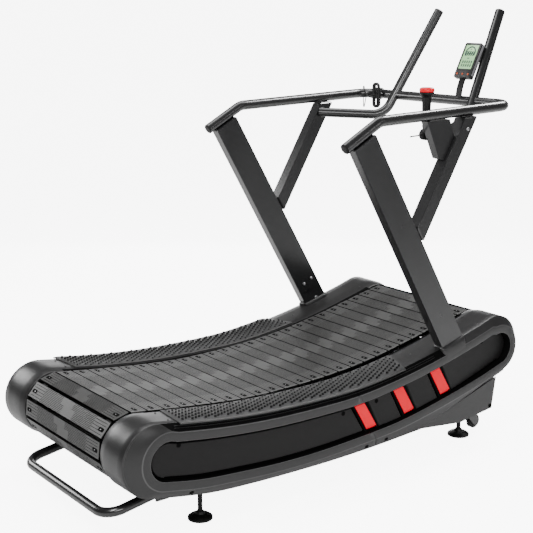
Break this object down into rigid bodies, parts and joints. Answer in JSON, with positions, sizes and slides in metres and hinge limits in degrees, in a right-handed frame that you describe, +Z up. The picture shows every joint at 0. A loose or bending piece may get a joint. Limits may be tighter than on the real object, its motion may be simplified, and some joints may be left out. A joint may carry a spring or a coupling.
{
  "type": "curved manual treadmill",
  "caption": "Self-powered curved treadmill: slat belt on a dished deck in moulded side covers, leaning uprights, wrap-around handrail with forward horns, lever and small display.",
  "frame": {"origin": "centre of the footprint on the floor", "axes": "+X towards the console, +Y to the user's left, +Z up"},
  "size_m": [1.9176, 0.8604, 1.6448],
  "materials": {
    "powder_coated_steel": "satin black powder coat",
    "moulded_plastic": "fine charcoal texture",
    "slat_rubber": "satin, fine ribs",
    "grip_rubber": "studded",
    "black_rubber": "matt",
    "machined_steel": "turned",
    "flywheel_iron": "cast, machined rim",
    "red_plastic": "satin gloss",
    "black_plastic": "satin",
    "display": "clear window over a pale green display",
    "orange_rubber": "matt"
  },
  "bodies": {
    "treadmill": {"base_frame": "powder_coated_steel", "slat_belt": "slat_rubber", "drive_belt_left": "black_rubber", "drive_belt_right": "black_rubber", "front_bearing_left": "machined_steel", "front_bearing_right": "machined_steel", "rear_bearing_left": "machined_steel", "rear_bearing_right": "machined_steel", "flywheel_belt": "black_rubber", "side_cover_rear_left": "moulded_plastic", "side_cover_rear_right": "moulded_plastic", "side_cover_front_left": "moulded_plastic", "side_cover_front_right": "moulded_plastic", "accent_strip_left": "red_plastic", "accent_strip_right": "red_plastic", "deck_cover_left": "moulded_plastic", "deck_cover_right": "moulded_plastic", "foot_grip_left": "grip_rubber", "foot_grip_right": "grip_rubber", "front_skirt_left": "moulded_plastic", "front_skirt_right": "moulded_plastic", "upright_left": "powder_coated_steel", "upright_right": "powder_coated_steel", "strut_left": "powder_coated_steel", "strut_right": "powder_coated_steel", "handrail": "powder_coated_steel", "horn_left": "powder_coated_steel", "horn_right": "powder_coated_steel", "rail_end_plug_left": "black_plastic", "rail_end_plug_right": "black_plastic", "horn_end_plug_left": "black_plastic", "horn_end_plug_right": "black_plastic", "lever_bracket": "powder_coated_steel", "console_arm": "powder_coated_steel", "console_body": "black_plastic", "console_screen": "display", "lift_handle": "powder_coated_steel", "sensor_lead": "black_rubber", "sensor_lead_hank": "black_rubber"},
    "front_drum": {"front_drum": "machined_steel"},
    "rear_drum": {"rear_drum": "machined_steel"},
    "guide_roller_left_1": {"guide_roller_left_1": "machined_steel"},
    "guide_roller_left_2": {"guide_roller_left_2": "machined_steel"},
    "guide_roller_left_3": {"guide_roller_left_3": "machined_steel"},
    "guide_roller_right_1": {"guide_roller_right_1": "machined_steel"},
    "guide_roller_right_2": {"guide_roller_right_2": "machined_steel"},
    "guide_roller_right_3": {"guide_roller_right_3": "machined_steel"},
    "flywheel": {"flywheel": "flywheel_iron"},
    "lever": {"lever_arm": "black_plastic", "lever_knob": "red_plastic"},
    "brake_magnet": {"brake_magnet": "machined_steel"},
    "front_foot_left": {"front_foot_left": "black_plastic"},
    "front_foot_right": {"front_foot_right": "black_plastic"},
    "rear_foot_left": {"rear_foot_left": "black_plastic"},
    "rear_foot_right": {"rear_foot_right": "black_plastic"},
    "wheel_left": {"wheel_left": "black_rubber"},
    "wheel_right": {"wheel_right": "black_rubber"},
    "console_button_1": {"console_button_1": "orange_rubber"},
    "console_button_2": {"console_button_2": "orange_rubber"},
    "console_button_3": {"console_button_3": "orange_rubber"}
  },
  "joints": [
    {"name": "front_drum_spin", "type": "hinge", "parent": "treadmill", "child": "front_drum", "pos_m": [0.724, 0, 0.374], "axis": [0, 1, 0], "continuous": true},
    {"name": "rear_drum_spin", "type": "hinge", "parent": "treadmill", "child": "rear_drum", "pos_m": [-0.834, 0, 0.281], "axis": [0, 1, 0], "continuous": true},
    {"name": "guide_roller_left_1_spin", "type": "hinge", "parent": "treadmill", "child": "guide_roller_left_1", "pos_m": [-0.45, 0, 0.31597], "axis": [0, 1, 0], "continuous": true},
    {"name": "guide_roller_left_2_spin", "type": "hinge", "parent": "treadmill", "child": "guide_roller_left_2", "pos_m": [-0.02, 0, 0.31506], "axis": [0, 1, 0], "continuous": true},
    {"name": "guide_roller_left_3_spin", "type": "hinge", "parent": "treadmill", "child": "guide_roller_left_3", "pos_m": [0.36, 0, 0.3653], "axis": [0, 1, 0], "continuous": true},
    {"name": "guide_roller_right_1_spin", "type": "hinge", "parent": "treadmill", "child": "guide_roller_right_1", "pos_m": [-0.45, 0, 0.31597], "axis": [0, 1, 0], "continuous": true},
    {"name": "guide_roller_right_2_spin", "type": "hinge", "parent": "treadmill", "child": "guide_roller_right_2", "pos_m": [-0.02, 0, 0.31506], "axis": [0, 1, 0], "continuous": true},
    {"name": "guide_roller_right_3_spin", "type": "hinge", "parent": "treadmill", "child": "guide_roller_right_3", "pos_m": [0.36, 0, 0.3653], "axis": [0, 1, 0], "continuous": true},
    {"name": "flywheel_spin", "type": "hinge", "parent": "treadmill", "child": "flywheel", "pos_m": [0.5, -0.351, 0.235], "axis": [0, 1, 0], "continuous": true},
    {"name": "lever_swing", "type": "hinge", "parent": "treadmill", "child": "lever", "pos_m": [0.348, -0.36, 1.208], "axis": [0, 1, 0], "range_deg": [-25, 25]},
    {"name": "brake_magnet_swing", "type": "hinge", "parent": "treadmill", "child": "brake_magnet", "pos_m": [0.385, -0.351, 0.3], "axis": [0, 1, 0], "range_deg": [-8, 8]},
    {"name": "front_foot_left_level", "type": "slide", "parent": "treadmill", "child": "front_foot_left", "axis": [0, 0, 1], "range_m": [-0.01, 0.01]},
    {"name": "front_foot_right_level", "type": "slide", "parent": "treadmill", "child": "front_foot_right", "axis": [0, 0, 1], "range_m": [-0.01, 0.01]},
    {"name": "rear_foot_left_level", "type": "slide", "parent": "treadmill", "child": "rear_foot_left", "axis": [0, 0, 1], "range_m": [-0.01, 0.01]},
    {"name": "rear_foot_right_level", "type": "slide", "parent": "treadmill", "child": "rear_foot_right", "axis": [0, 0, 1], "range_m": [-0.01, 0.01]},
    {"name": "wheel_left_spin", "type": "hinge", "parent": "treadmill", "child": "wheel_left", "pos_m": [0.698, 0.33, 0.041], "axis": [0, 1, 0], "continuous": true},
    {"name": "wheel_right_spin", "type": "hinge", "parent": "treadmill", "child": "wheel_right", "pos_m": [0.698, -0.33, 0.041], "axis": [0, 1, 0], "continuous": true},
    {"name": "console_button_1_press", "type": "slide", "parent": "treadmill", "child": "console_button_1", "axis": [0.891, 0, -0.454], "range_m": [0, 0.001], "stiffness_N_per_m": 400},
    {"name": "console_button_2_press", "type": "slide", "parent": "treadmill", "child": "console_button_2", "axis": [0.891, 0, -0.454], "range_m": [0, 0.001], "stiffness_N_per_m": 400},
    {"name": "console_button_3_press", "type": "slide", "parent": "treadmill", "child": "console_button_3", "axis": [0.891, 0, -0.454], "range_m": [0, 0.001], "stiffness_N_per_m": 400}
  ],
  "couplings": [
    {"joint": "rear_drum_spin", "follows": "front_drum_spin", "ratio": 0.915},
    {"joint": "guide_roller_left_1_spin", "follows": "front_drum_spin", "ratio": 4.8},
    {"joint": "guide_roller_left_2_spin", "follows": "front_drum_spin", "ratio": 4.8},
    {"joint": "guide_roller_left_3_spin", "follows": "front_drum_spin", "ratio": 4.8},
    {"joint": "guide_roller_right_1_spin", "follows": "front_drum_spin", "ratio": 4.8},
    {"joint": "guide_roller_right_2_spin", "follows": "front_drum_spin", "ratio": 4.8},
    {"joint": "guide_roller_right_3_spin", "follows": "front_drum_spin", "ratio": 4.8},
    {"joint": "flywheel_spin", "follows": "front_drum_spin", "ratio": 2.5},
    {"joint": "brake_magnet_swing", "follows": "lever_swing", "ratio": 0.25}
  ]
}
